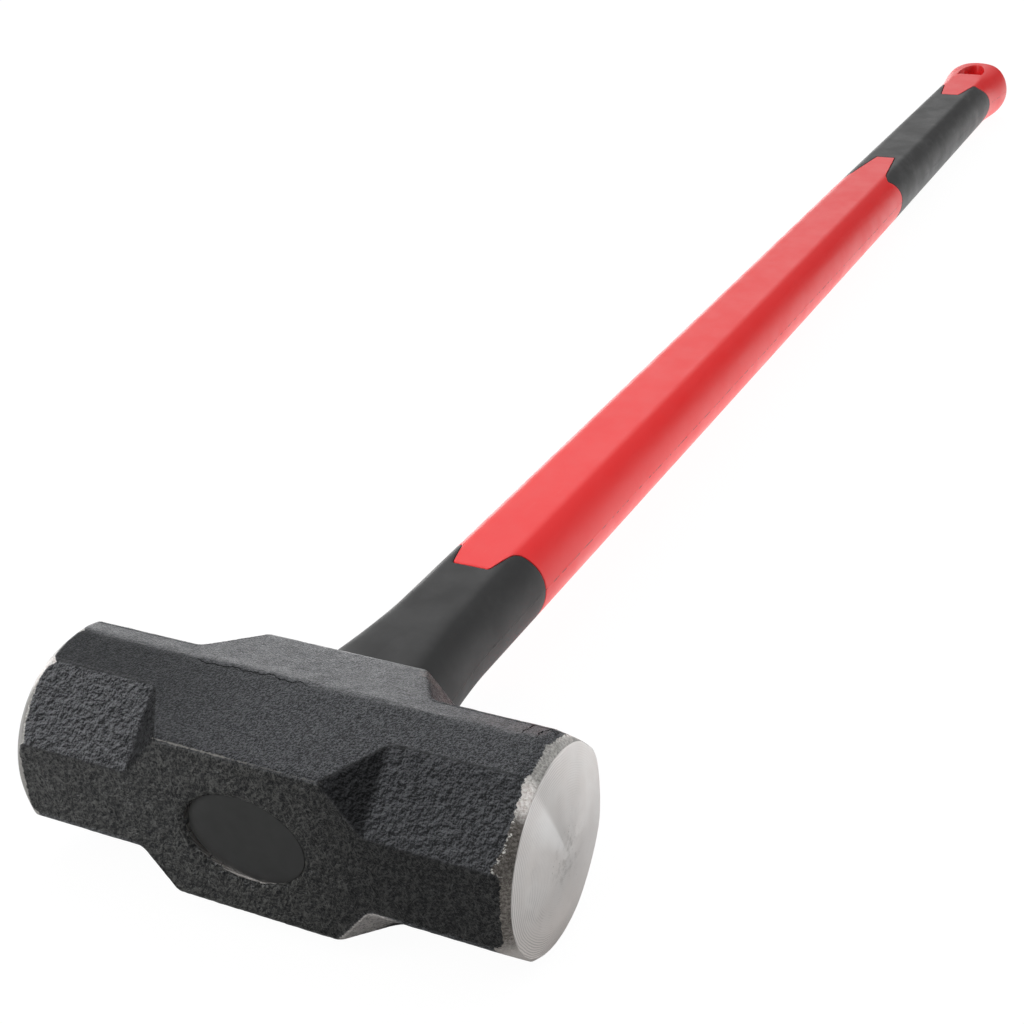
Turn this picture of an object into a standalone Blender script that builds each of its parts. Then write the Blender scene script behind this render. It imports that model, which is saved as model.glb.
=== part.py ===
"""Sledgehammer: a forged steel head on a fibreglass handle with a two-shot moulded covering.

The parts are drawn about the centre of the eye, and an empty then puts the origin in the middle
of the butt's end face. +X runs along the head to one striking face, +Y runs along the handle and
out of the butt, and +Z comes up through a cheek of the head. Sizes are in metres.
"""

import math

import bmesh
import bpy
from mathutils import Matrix, Vector

CLEARANCE = 0.0003

# Head
FACE_REACH = 0.0907
FACE_RADIUS = 0.0308
FACE_CENTRE = (0.0003, -0.0010)
CROWN_HEIGHT = 0.0038
BEVEL_SLOPE = 0.85
HEAD_HALF_DEPTH = 0.0317
CHEEK_CORNER_HEIGHT = 0.0288
CHEEK_RIDGE_HEIGHT = 0.0352
CHEEK_RIDGE_OFFSET = 0.0025
FACET_DISTANCE = 0.0318
BLOCK_HALF_LENGTH = 0.0290
RAMP_END = 0.0418

# Eye, an oval that is narrowest half way through
EYE_HALF_WIDTH = 0.0217
EYE_HALF_HEIGHT = 0.0154
EYE_WAIST = 0.88
EYE_LIP = 0.0012
PLUG_FACE = -0.0302
PLUG_ROUND = 0.0011
PLUG_CROWN = 0.0004

# Fibreglass core
CORE_HALF_WIDTH = 0.0142
CORE_HALF_HEIGHT = 0.0110
CORE_START = -0.0240
CORE_END = 0.8350

# Handle covering
SEAL_START = 0.0250
NECK_START = 0.0320
FLARE_END = 0.0900
FLARE_WIDTH = 0.0064
FLARE_HEIGHT = 0.0022
FLARE_POWER = 1.6
HANDLE_HALF_WIDTH = 0.0197
HANDLE_HALF_HEIGHT = 0.0165
HANDLE_HALF_FLAT = 0.0099
TAPER_START = 0.5900
TAPER_END = 0.8500
TAPER_WIDTH = 0.0013
TAPER_HEIGHT = 0.0008
KNOB_START = 0.8420
KNOB_RIM = 0.8760
KNOB_WIDTH = 0.0030
KNOB_HEIGHT = 0.0021
HANDLE_END = 0.8823
END_SIDE_ROUND = 0.0053
END_TOP_ROUND = 0.0012
GRIP_WALL = 0.0022
JACKET_START = 0.0380

# Where the grips meet the jacket: half of each outline, from the middle of the flat to the side
NECK_EDGE = [(0.0, 0.1140), (0.0074, 0.1140), (0.0105, 0.1270), (0.0125, 0.1297), (0.0198, 0.1335)]
REAR_EDGE = [(0.0, 0.6470), (0.0055, 0.6470), (0.0100, 0.6120), (0.0130, 0.6060), (0.0192, 0.6145)]
BUTT_EDGE = [(0.0, 0.8000), (0.0057, 0.8000), (0.0100, 0.8260), (0.0130, 0.8280), (0.0185, 0.8395)]

# Lanyard slot
SLOT_START = 0.8540
SLOT_HALF_WIDTH = 0.0085
SLOT_ARC_START = 0.8570
SLOT_END = 0.8760

OUTSIDE = 0.0600


def clear_scene():
    for old in list(bpy.data.objects):
        bpy.data.objects.remove(old)


def new_collection(name):
    made = bpy.data.collections.new(name)
    bpy.context.scene.collection.children.link(made)
    return made


def new_object(name, mesh, home):
    made = bpy.data.objects.new(name, mesh)
    home.objects.link(made)
    return made


def new_material(name, colour, roughness, metallic):
    made = bpy.data.materials.new(name)
    made.use_nodes = True
    shader = made.node_tree.nodes["Principled BSDF"]
    shader.inputs["Base Color"].default_value = (*colour, 1.0)
    shader.inputs["Roughness"].default_value = roughness
    shader.inputs["Metallic"].default_value = metallic
    return made


def settle(part):
    """Makes a part's modifiers and placing its own mesh."""
    bpy.context.view_layer.update()
    evaluated = part.evaluated_get(bpy.context.evaluated_depsgraph_get())
    mesh = bpy.data.meshes.new_from_object(evaluated)
    mesh.transform(part.matrix_world)
    mesh.name = part.name
    part.modifiers.clear()
    part.data = mesh
    part.matrix_world = Matrix.Identity(4)


def finish_part(part, colour, roughness, metallic=0.0):
    settle(part)
    part.data.materials.append(new_material(part.name, colour, roughness, metallic))
    part.data.shade_smooth()
    part.data.set_sharp_from_angle(angle=math.radians(24))


def as_cutter(tool):
    tool.hide_render = True
    tool.display_type = "WIRE"
    return tool


def boolean(part, tool, operation="DIFFERENCE"):
    step = part.modifiers.new(f"{operation.lower()}_{tool.name}", "BOOLEAN")
    step.object = tool
    step.operation = operation
    step.solver = "EXACT"


def axes_matrix(x_axis, y_axis):
    """The rotation that lays a flat outline along two directions."""
    x_axis, y_axis = Vector(x_axis).normalized(), Vector(y_axis).normalized()
    return Matrix((x_axis, y_axis, x_axis.cross(y_axis))).transposed().to_4x4()


def prism(name, outline, half_depth, home, placing=None):
    """A flat outline with thickness, as a closed mesh."""
    curve = bpy.data.curves.new(name, "CURVE")
    curve.dimensions = "2D"
    curve.fill_mode = "BOTH"
    curve.extrude = half_depth
    spline = curve.splines.new("POLY")
    spline.points.add(len(outline) - 1)
    for point, (x, y) in zip(spline.points, outline):
        point.co = (x, y, 0.0, 1.0)
    spline.use_cyclic_u = True
    guide = bpy.data.objects.new(name + "_outline", curve)
    home.objects.link(guide)
    guide.matrix_world = placing or Matrix.Identity(4)
    bpy.context.view_layer.update()
    evaluated = guide.evaluated_get(bpy.context.evaluated_depsgraph_get())
    mesh = bpy.data.meshes.new_from_object(evaluated)
    shape = bmesh.new()
    shape.from_mesh(mesh)
    bmesh.ops.remove_doubles(shape, verts=shape.verts, dist=0.00001)
    bmesh.ops.recalc_face_normals(shape, faces=shape.faces)
    shape.to_mesh(mesh)
    shape.free()
    mesh.name = name
    made = new_object(name, mesh, home)
    made.matrix_world = guide.matrix_world
    bpy.data.objects.remove(guide)
    return made


def turned(name, profile, steps, home, placing):
    """A profile of (radius, height) points, from top to bottom, turned about local Z."""
    mesh = bpy.data.meshes.new(name)
    points = [(radius, 0.0, height) for radius, height in profile]
    mesh.from_pydata(points, [(i, i + 1) for i in range(len(points) - 1)], [])
    made = new_object(name, mesh, home)
    made.matrix_world = placing
    screw = made.modifiers.new("turn", "SCREW")
    screw.axis = "Z"
    screw.angle = math.tau
    screw.steps = screw.render_steps = steps
    screw.use_merge_vertices = True
    screw.merge_threshold = 0.00001
    return made


def loft(name, stations, section, home):
    """A closed skin through one section for each station along Y."""
    shape = bmesh.new()
    rings = []
    for y in stations:
        rings.append([shape.verts.new((x, y, z)) for x, z in section(y)])
    for near, far in zip(rings, rings[1:]):
        for i in range(len(near)):
            j = (i + 1) % len(near)
            shape.faces.new((near[i], near[j], far[j], far[i]))
    shape.faces.new(rings[0])
    shape.faces.new(rings[-1])
    bmesh.ops.recalc_face_normals(shape, faces=shape.faces)
    mesh = bpy.data.meshes.new(name)
    shape.to_mesh(mesh)
    shape.free()
    return new_object(name, mesh, home)


def set_origin_at_butt(home):
    """Hangs the parts from an empty that puts the butt's end face at the origin."""
    eye = bpy.data.objects.new("eye_centre", None)
    home.objects.link(eye)
    for part in home.objects:
        if part is not eye:
            part.parent = eye
    eye.location = (0.0, -HANDLE_END, 0.0)


def clamped(value):
    return min(1.0, max(0.0, value))


def eased(value):
    value = clamped(value)
    return value * value * (3.0 - 2.0 * value)


# ---------------------------------------------------------------- eye


ALONG_EYE = Matrix.Rotation(math.radians(-90), 4, "X")


def eye_radius(y):
    """The eye's radius at y, as a share of its radius at the mouths."""
    return EYE_WAIST + (1.0 - EYE_WAIST) * (y / HEAD_HALF_DEPTH) ** 2


def eye_placing():
    """Local Z lies along the eye, and a radius of 1 is its oval mouth."""
    return ALONG_EYE @ Matrix.Diagonal((EYE_HALF_WIDTH, EYE_HALF_HEIGHT, 1.0, 1.0))


def eye_wall(start, end, inset, count):
    """Profile points down the eye's wall from end to start, moved inwards by inset."""
    heights = [end + (start - end) * i / count for i in range(count + 1)]
    return [(eye_radius(y) - inset / EYE_HALF_HEIGHT, y) for y in heights]


def build_eye_cutter(home):
    lip = EYE_LIP / EYE_HALF_HEIGHT
    lip_start = HEAD_HALF_DEPTH - EYE_LIP
    wall = eye_wall(-lip_start, lip_start, 0.0, 12)
    mouth = (1.0 + lip, HEAD_HALF_DEPTH)
    outside = (1.0 + lip, OUTSIDE)
    ends = [(0.0, OUTSIDE), outside, mouth]
    profile = ends + wall + [(radius, -height) for radius, height in reversed(ends)]
    return as_cutter(turned("eye_cutter", profile, 48, home, eye_placing()))


def core_section(clearance):
    """The core's oval outline."""
    count = 32
    turns = [math.tau * i / count for i in range(count)]
    wide, high = CORE_HALF_WIDTH + clearance, CORE_HALF_HEIGHT + clearance
    return [(wide * math.cos(turn), high * math.sin(turn)) for turn in turns]


def build_core_cutter(name, start, end, home):
    return as_cutter(loft(name, [start, end], lambda y: core_section(CLEARANCE), home))


def build_core(home):
    core = loft("fibreglass_core", [CORE_START, CORE_END], lambda y: core_section(0.0), home)
    finish_part(core, (0.78, 0.74, 0.50), 0.45)


def build_epoxy(home, through):
    """Resin cast between the eye's wall and the core."""
    start, end = CORE_START, SEAL_START - CLEARANCE
    profile = [(0.0, end)] + eye_wall(start, end, CLEARANCE, 10) + [(0.0, start)]
    epoxy = turned("epoxy_fill", profile, 48, home, eye_placing())
    boolean(epoxy, through)
    finish_part(epoxy, (0.42, 0.33, 0.18), 0.30)


def build_eye_seal(home, through):
    """Rubber ring at the handle's mouth of the eye."""
    end = HEAD_HALF_DEPTH - CLEARANCE
    profile = [(0.0, end)] + eye_wall(SEAL_START, end, CLEARANCE, 3) + [(0.0, SEAL_START)]
    seal = turned("eye_seal", profile, 48, home, eye_placing())
    boolean(seal, through)
    finish_part(seal, (0.03, 0.03, 0.03), 0.85)


def build_eye_plug(home):
    """Smooth oval plug that closes the front mouth, just below the head's face."""
    back = CORE_START - CLEARANCE
    rim = eye_radius(back) - CLEARANCE / EYE_HALF_HEIGHT
    profile = [(0.0, back), (rim, back)]
    for i in range(5):
        turn = math.radians(90) * i / 4
        radius = rim - PLUG_ROUND / EYE_HALF_HEIGHT * (1.0 - math.cos(turn))
        profile.append((radius, PLUG_FACE + PLUG_ROUND * (1.0 - math.sin(turn))))
    profile.append((0.0, PLUG_FACE - PLUG_CROWN))
    plug = turned("eye_plug", profile, 48, home, eye_placing())
    finish_part(plug, (0.03, 0.03, 0.032), 0.35)


# ---------------------------------------------------------------- head


def face_profile():
    """The crowned face and its ground bevel, as (radius, reach) points from the middle outwards."""
    curve = (FACE_RADIUS**2 + CROWN_HEIGHT**2) / (2.0 * CROWN_HEIGHT)
    sweep = math.asin(FACE_RADIUS / curve)
    arc = []
    for i in range(9):
        turn = sweep * i / 8
        arc.append((curve * math.sin(turn), FACE_REACH - curve * (1.0 - math.cos(turn))))
    edge = FACE_REACH - CROWN_HEIGHT
    bevel_end = (OUTSIDE, edge - (OUTSIDE - FACE_RADIUS) / BEVEL_SLOPE)
    return arc + [bevel_end]


def build_head(home, tools, eye_cutter):
    """A roofed block, turned down at both faces, with its corners cut back to an octagon."""
    depth, corner, ridge = HEAD_HALF_DEPTH, CHEEK_CORNER_HEIGHT, CHEEK_RIDGE_HEIGHT
    middle = CHEEK_RIDGE_OFFSET
    outline = [(-depth, -corner), (middle, -ridge), (depth, -corner)]
    outline += [(depth, corner), (middle, ridge), (-depth, corner)]
    head = prism("head", outline, FACE_REACH + 0.010, home, axes_matrix((0, 1, 0), (0, 0, 1)))

    half = face_profile()
    profile = half + [(radius, -reach) for radius, reach in reversed(half)]
    along_head = Matrix.Translation((0.0, *FACE_CENTRE)) @ Matrix.Rotation(math.radians(90), 4, "Y")
    turning = as_cutter(turned("face_turning", profile, 72, tools, along_head))
    boolean(head, turning, "INTERSECT")

    full_corner = (depth + corner) / math.sqrt(2.0)
    ramp_run = (RAMP_END - BLOCK_HALF_LENGTH) / (full_corner - FACET_DISTANCE)
    ramp_top = RAMP_END - ramp_run * (OUTSIDE - FACET_DISTANCE)
    facet = [(RAMP_END, FACET_DISTANCE), (0.1, FACET_DISTANCE), (0.1, OUTSIDE), (ramp_top, OUTSIDE)]
    corner_cutter = prism("corner_cutter", facet, 0.020, tools, axes_matrix((1, 0, 0), (0, 1, 1)))
    corner_cutter.data.transform(corner_cutter.matrix_world)
    corner_cutter.matrix_world = Matrix.Identity(4)
    mirror = as_cutter(corner_cutter).modifiers.new("all_corners", "MIRROR")
    mirror.use_axis = (True, True, True)
    mirror.use_mirror_merge = False
    boolean(head, corner_cutter)

    boolean(head, eye_cutter)
    finish_part(head, (0.045, 0.047, 0.050), 0.55, 0.6)


# ---------------------------------------------------------------- handle covering


def straight_size(y):
    """Half width, half height and half flat of the handle without its flare and knob."""
    width = HANDLE_HALF_WIDTH - TAPER_WIDTH * clamped((y - TAPER_START) / (TAPER_END - TAPER_START))
    height = HANDLE_HALF_HEIGHT - TAPER_HEIGHT * clamped((y - NECK_START) / (TAPER_END - NECK_START))
    return width, height, HANDLE_HALF_FLAT


def end_inset(y, radius):
    """How far a rounded corner has drawn the surface in at y."""
    past = clamped(1.0 - (HANDLE_END - y) / radius)
    return radius * (1.0 - math.sqrt(1.0 - past**2))


def outside_size(y):
    """Half width, half height and half flat of the handle's outside."""
    width, height, flat = straight_size(y)
    flare = clamped((FLARE_END - y) / (FLARE_END - NECK_START)) ** FLARE_POWER
    knob = eased((y - KNOB_START) / (KNOB_RIM - KNOB_START))
    width += FLARE_WIDTH * flare + KNOB_WIDTH * knob - end_inset(y, END_SIDE_ROUND)
    height += FLARE_HEIGHT * flare + KNOB_HEIGHT * knob - end_inset(y, END_TOP_ROUND)
    flat = min(flat + FLARE_WIDTH * 0.5 * flare, width * 0.55)
    return width, height, flat


def handle_section(width, height, flat):
    """Flat top and bottom, joined by an arc on each side."""
    reach = width - flat
    radius = (reach**2 + height**2) / (2.0 * reach)
    sweep = math.asin(height / radius)
    steps = 12
    turns = [sweep * (2.0 * i / steps - 1.0) for i in range(steps + 1)]
    side = [(width - radius + radius * math.cos(turn), radius * math.sin(turn)) for turn in turns]
    return side + [(-x, -z) for x, z in side]


def spaced(start, end, count):
    return [start + (end - start) * i / count for i in range(count + 1)]


def build_outside(name, home):
    corner_start = HANDLE_END - END_SIDE_ROUND
    turns = [math.radians(90) * i / 8 for i in range(1, 9)]
    stations = spaced(NECK_START, FLARE_END, 8) + [0.13, 0.25, 0.42, TAPER_START, 0.72]
    stations += spaced(KNOB_START, corner_start, 8)
    stations += [corner_start + END_SIDE_ROUND * math.sin(turn) for turn in turns]
    return loft(name, stations, lambda y: handle_section(*outside_size(y)), home)


def build_bed(name, clearance, home):
    """The jacket's surface under the grips, grown by a clearance."""

    def section(y):
        width, height, flat = straight_size(y)
        thin = GRIP_WALL - clearance
        return handle_section(width - thin, height - thin, flat - thin * 0.5)

    stations = [JACKET_START - clearance, 0.25, 0.42, TAPER_START, 0.72, TAPER_END]
    return as_cutter(loft(name, stations, section, home))


def moved_edge(edge, distance):
    """A half outline moved sideways by a distance, to its right as it runs."""
    normals = []
    for (x0, y0), (x1, y1) in zip(edge, edge[1:]):
        length = math.hypot(x1 - x0, y1 - y0)
        normals.append(((y1 - y0) / length, (x0 - x1) / length))
    moved = []
    for i, (x, y) in enumerate(edge):
        before = normals[max(i - 1, 0)]
        after = normals[min(i, len(normals) - 1)]
        share = distance / (1.0 + before[0] * after[0] + before[1] * after[1])
        moved.append((x + share * (before[0] + after[0]), y + share * (before[1] + after[1])))
    return moved


def across(edge, distance):
    """The whole outline of an edge, from far left to far right."""
    half = moved_edge(edge, distance)
    half.append((OUTSIDE, half[-1][1]))
    return [(-x, y) for x, y in reversed(half[1:])] + half


def grip_zone(name, first, last, home):
    """Everything between two edges, through the whole height of the handle."""
    return as_cutter(prism(name, first + list(reversed(last)), OUTSIDE, home))


def slot_outline():
    """D shape with its flat towards the head."""
    wide, deep = SLOT_HALF_WIDTH, SLOT_END - SLOT_ARC_START
    turns = [math.pi * i / 12 for i in range(13)]
    back = [(wide * math.cos(turn), SLOT_ARC_START + deep * math.sin(turn)) for turn in turns]
    return [(-wide, SLOT_START), (wide, SLOT_START)] + back


def build_covering(home, tools, jacket_bore):
    """Red jacket with the butt knob, and the two black grips moulded into its recesses."""
    head_side = [(-OUTSIDE, 0.0), (OUTSIDE, 0.0)]
    bed = build_bed("jacket_bed", 0.0, tools)
    grip_bore = build_bed("grip_bore", CLEARANCE, tools)

    neck_recess = grip_zone("neck_recess", head_side, across(NECK_EDGE, 0.0), tools)
    rear_recess = grip_zone("rear_recess", across(REAR_EDGE, 0.0), across(BUTT_EDGE, 0.0), tools)
    for recess in (neck_recess, rear_recess):
        boolean(recess, bed)

    jacket = build_outside("handle_jacket", home)
    slot = as_cutter(prism("lanyard_slot", slot_outline(), OUTSIDE, tools))
    for tool in (neck_recess, rear_recess, jacket_bore, slot):
        boolean(jacket, tool)
    finish_part(jacket, (0.72, 0.02, 0.03), 0.42)

    neck_zone = grip_zone("neck_zone", head_side, across(NECK_EDGE, CLEARANCE), tools)
    neck = build_outside("neck_grip", home)
    boolean(neck, neck_zone, "INTERSECT")
    boolean(neck, grip_bore)
    boolean(neck, jacket_bore)
    finish_part(neck, (0.035, 0.035, 0.037), 0.70)

    rear_first = across(REAR_EDGE, -CLEARANCE)
    rear_last = across(BUTT_EDGE, CLEARANCE)
    rear_zone = grip_zone("rear_zone", rear_first, rear_last, tools)
    rear = build_outside("rear_grip", home)
    boolean(rear, rear_zone, "INTERSECT")
    boolean(rear, grip_bore)
    finish_part(rear, (0.035, 0.035, 0.037), 0.70)


def main():
    clear_scene()
    home = new_collection("sledgehammer")
    tools = new_collection("cutters")
    build_head(home, tools, build_eye_cutter(tools))
    build_eye_plug(home)
    build_core(home)
    through = build_core_cutter("eye_core_cutter", -OUTSIDE, OUTSIDE, tools)
    build_epoxy(home, through)
    build_eye_seal(home, through)
    jacket_bore = build_core_cutter("jacket_bore", NECK_START - OUTSIDE, CORE_END + CLEARANCE, tools)
    build_covering(home, tools, jacket_bore)
    set_origin_at_butt(home)


main()
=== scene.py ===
import math

import bmesh
import bpy
import numpy as np
from mathutils import Matrix, Vector, noise


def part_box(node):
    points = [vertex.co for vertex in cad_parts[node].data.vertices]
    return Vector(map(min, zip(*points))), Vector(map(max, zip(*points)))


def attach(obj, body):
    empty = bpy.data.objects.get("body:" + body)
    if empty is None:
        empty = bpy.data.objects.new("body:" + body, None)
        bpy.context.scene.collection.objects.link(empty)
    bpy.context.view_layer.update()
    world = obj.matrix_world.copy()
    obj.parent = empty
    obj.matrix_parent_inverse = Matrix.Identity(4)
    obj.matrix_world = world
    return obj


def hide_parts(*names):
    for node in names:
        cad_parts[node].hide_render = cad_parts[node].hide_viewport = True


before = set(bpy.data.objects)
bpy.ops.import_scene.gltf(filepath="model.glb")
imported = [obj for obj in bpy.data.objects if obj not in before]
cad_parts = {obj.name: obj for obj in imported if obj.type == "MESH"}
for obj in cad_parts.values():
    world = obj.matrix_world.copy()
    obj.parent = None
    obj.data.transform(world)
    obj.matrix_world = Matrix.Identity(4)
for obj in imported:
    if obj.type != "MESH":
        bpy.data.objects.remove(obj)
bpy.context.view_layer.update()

# Shapes below are in millimetres from the centre of the eye, and in_frame puts them in place.
# X runs along the head, Y along the handle to the butt, and Z up through a cheek of the head.
MM = 0.001
HEAD_LOW, HEAD_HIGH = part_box("head")
JACKET_LOW, JACKET_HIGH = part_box("handle_jacket")
EYE = (HEAD_LOW + HEAD_HIGH) / 2.0
REACH, DEPTH, RIDGE = (HEAD_HIGH - HEAD_LOW) / 2.0 / MM
JACKET_START = (JACKET_LOW.y - EYE.y) / MM
HANDLE_END = (JACKET_HIGH.y - EYE.y) / MM
NECK_START = (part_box("neck_grip")[0].y - EYE.y) / MM

# Head
CHEEK_CORNER = 28.8
RIDGE_OFFSET = 2.5
FACET = 31.8
LOW_FRONT_FACET = 32.6
BLOCK_HALF_LENGTH = 29.0
RAMP_END = 41.8
CROWN_RADIUS = 125.0
CROWN_CENTRE = (-0.9, -0.6)
BEVEL_CENTRE = (1.1, -1.3)
BEVEL_RADIUS = 31.4
BEVEL_REACH = 87.2
BEVEL_SLOPE = 0.85
RING_PITCH = 0.75
PAINT_CENTRE = (2.4, 0.7)
PAINT_RADIUS = 33.7
PAINT_REACH = 84.6
PAINT_REACH_CHEEK = 84.3
CORNER_CHIP = 3.0
CHEEK_CHIP = 2.2
RIDGE_CHIP = 1.8
FAR_END_CHIP = 2.1
FLASH_START = -38.0
FLASH_END = 8.0
CRACKS = (77.6, 82.6)

# Added to the "bare" layer, so that the faces a Boolean cut makes, where it is 0, count as painted
BARE_ZERO = 10.0

# Where the plain shapes of a cheek and a front corner flat meet
CHEEK_RISE = (RIDGE - CHEEK_CORNER) / (RIDGE_OFFSET + DEPTH)
CORNER_Y = (FACET * math.sqrt(2.0) - CHEEK_CORNER - CHEEK_RISE * DEPTH) / (1.0 - CHEEK_RISE)
CORNER_Z = FACET * math.sqrt(2.0) - CORNER_Y

# Eye and plug
EYE_HALF_WIDTH = 21.7
EYE_HALF_HEIGHT = 15.4
EYE_WAIST = 0.88
EYE_LIP = 1.3
FRONT_MOUTH = (-1.5, -1.0)
PLUG_BACK = -24.3

# Handle
FLARE_END = 90.0
FLARE_WIDTH = 6.4
FLARE_HEIGHT = 2.2
FLARE_POWER = 1.6
HANDLE_HALF_WIDTH = 19.7
HANDLE_HALF_HEIGHT = 16.5
HANDLE_HALF_FLAT = 9.9
TAPER_START = 590.0
TAPER_END = 850.0
TAPER_WIDTH = 1.3
TAPER_HEIGHT = 0.8
KNOB_START = 842.0
KNOB_RIM = 876.0
KNOB_WIDTH = 3.0
KNOB_HEIGHT = 2.1
END_SIDE_ROUND = 5.3
END_TOP_ROUND = 1.4
GRIP_WALL = 2.2
CORE_HALF_WIDTH = 14.2
CORE_HALF_HEIGHT = 11.0
CORE_END = 835.0
CREASE = 0.7
SEAM_GAP = 0.14
EDGE_ROUND = 0.3
CLEARANCE = 0.3

# Where the grips meet the jacket: half of each outline, from the middle of the flat to the side
NECK_EDGE = [(0.0, 114.0), (7.4, 114.0), (10.5, 127.0), (12.5, 129.7), (19.8, 133.5)]
REAR_EDGE = [(0.0, 647.0), (5.5, 647.0), (10.0, 612.0), (13.0, 606.0), (19.2, 614.5)]
BUTT_EDGE = [(0.0, 800.0), (5.7, 800.0), (10.0, 826.0), (13.0, 828.0), (18.5, 839.5)]

SLOT_START = 854.0
SLOT_HALF_WIDTH = 8.5
SLOT_ARC_START = 857.0
SLOT_END = 876.0
SLOT_LIP = 0.6

HEAD_COLUMNS = 272
HANDLE_COLUMNS = 384


# ---------------------------------------------------------------- mesh tools


def smooth_max(a, b, reach):
    """The larger of two fields, with their meeting rounded over reach."""
    blend = np.clip(reach - np.abs(a - b), 0.0, None)
    return np.maximum(a, b) + blend * blend / (4.0 * reach)


def smooth_min(a, b, reach):
    return -smooth_max(-a, -b, reach)


def eased(value):
    value = np.clip(value, 0.0, 1.0)
    return value * value * (3.0 - 2.0 * value)


def rough(points, size, octaves=3):
    """Fractal noise at each point, with grains of a given size."""
    scaled = (np.asarray(points) / size).reshape(-1, 3)
    values = [noise.fractal(Vector(point), 0.9, 2.0, octaves) for point in scaled]
    return np.array(values).reshape(np.shape(points)[:-1])


def wander(value, size, seed):
    """Noise along one line, for edges that aren't quite straight."""
    value = np.asarray(value, float)
    return rough(np.stack([value, np.full(value.shape, seed), np.zeros(value.shape)], -1), size)


def cast(origins, directions, field, far):
    """How far each ray runs before it leaves the shape, which is where the field is below zero."""
    near = np.zeros(directions.shape[:-1])
    far = np.full(directions.shape[:-1], far)
    for _ in range(24):
        middle = (near + far) / 2.0
        inside = field(origins + directions * middle[..., None]) < 0.0
        near = np.where(inside, middle, near)
        far = np.where(inside, far, middle)
    return near


def in_frame(points):
    return np.asarray(points) * MM + np.array(EYE)


def new_mesh(name, points, faces, attributes=None):
    mesh = bpy.data.meshes.new(name)
    mesh.from_pydata(in_frame(points).tolist(), [], faces)
    shape = bmesh.new()
    shape.from_mesh(mesh)
    bmesh.ops.recalc_face_normals(shape, faces=shape.faces)
    shape.to_mesh(mesh)
    shape.free()
    for key, values in (attributes or {}).items():
        layer = mesh.attributes.new(key, "FLOAT", "POINT")
        layer.data.foreach_set("value", np.asarray(values, np.float32))
    mesh.shade_smooth()
    made = bpy.data.objects.new(name, mesh)
    bpy.context.scene.collection.objects.link(made)
    return made


def skin(name, rings, start=None, end=None, attributes=None):
    """A closed skin over rings of points. A start or end point closes that end, or else the skin
    runs from the last ring round to the first."""
    count, columns = rings.shape[:2]
    points = rings.reshape(-1, 3)
    faces = []
    last = count - 1 if start is not None else count
    column = np.arange(columns)
    following = (column + 1) % columns
    for i in range(last):
        near, far = i * columns, (i + 1) % count * columns
        faces += np.stack([near + column, near + following, far + following, far + column], -1).tolist()
    if start is not None:
        tip = len(points)
        points = np.vstack([points, [start, end]])
        far = (count - 1) * columns
        pairs = list(zip(column.tolist(), following.tolist()))
        faces += [[tip, second, first] for first, second in pairs]
        faces += [[tip + 1, far + first, far + second] for first, second in pairs]
    return new_mesh(name, points, faces, attributes)


def cut(piece, cutter):
    """Cuts one mesh with another and removes the cutter."""
    step = piece.modifiers.new("cut", "BOOLEAN")
    step.object = cutter
    step.operation = "DIFFERENCE"
    step.solver = "EXACT"
    bpy.context.view_layer.update()
    evaluated = piece.evaluated_get(bpy.context.evaluated_depsgraph_get())
    mesh = bpy.data.meshes.new_from_object(evaluated)
    piece.modifiers.clear()
    piece.data = mesh
    bpy.data.objects.remove(cutter)


def place(piece, node, slot, material):
    """Stands a piece in for its CAD node."""
    piece.data.materials.clear()
    piece.data.materials.append(material)
    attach(piece, "root")
    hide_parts(node)


# ---------------------------------------------------------------- head


def eye_ring(x, z, centre):
    """Distance outside the eye's oval mouth, near its edge."""
    across, up = (x - centre[0]) / EYE_HALF_WIDTH, (z - centre[1]) / EYE_HALF_HEIGHT
    size = np.sqrt(across**2 + up**2) + 1e-9
    slope = np.sqrt((across / EYE_HALF_WIDTH) ** 2 + (up / EYE_HALF_HEIGHT) ** 2) / size
    return (size - 1.0) / (slope + 1e-9)


def lip_dip(x, z, centre):
    """How deep the rolled lip has sunk round a mouth of the eye."""
    outside = np.clip(eye_ring(x, z, centre), 0.0, EYE_LIP)
    return EYE_LIP - np.sqrt(np.clip(EYE_LIP**2 - (EYE_LIP - outside) ** 2, 0.0, None))


def head_planes(points):
    """The fields of the front, back, cheeks and corners of the forging, before the ends."""
    x, y, z = points[..., 0], points[..., 1], points[..., 2]
    front = -y - DEPTH + lip_dip(x, z, FRONT_MOUTH)
    back = y - DEPTH + lip_dip(x, z, (0.0, 0.0))
    rise = RIDGE - CHEEK_CORNER
    before = (np.abs(z) - RIDGE) * (RIDGE_OFFSET + DEPTH) + (RIDGE_OFFSET - y) * rise
    before = before / math.hypot(RIDGE_OFFSET + DEPTH, rise)
    after = (np.abs(z) - RIDGE) * (DEPTH - RIDGE_OFFSET) + (y - RIDGE_OFFSET) * rise
    after = after / math.hypot(DEPTH - RIDGE_OFFSET, rise)
    cheek = smooth_max(before, after, 0.9)
    distance = (np.abs(y) + np.abs(z)) / math.sqrt(2.0)
    facet_at = np.where((y < 0.0) & (z < 0.0), LOW_FRONT_FACET, FACET)
    full_corner = (DEPTH + CHEEK_CORNER) / math.sqrt(2.0)
    run = (RAMP_END - BLOCK_HALF_LENGTH) / (full_corner - FACET)
    ramp = (np.abs(x) - RAMP_END + run * (distance - FACET)) / math.hypot(1.0, run)
    corner = smooth_min(distance - facet_at, ramp, 1.6)
    return front, back, cheek, corner


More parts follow.
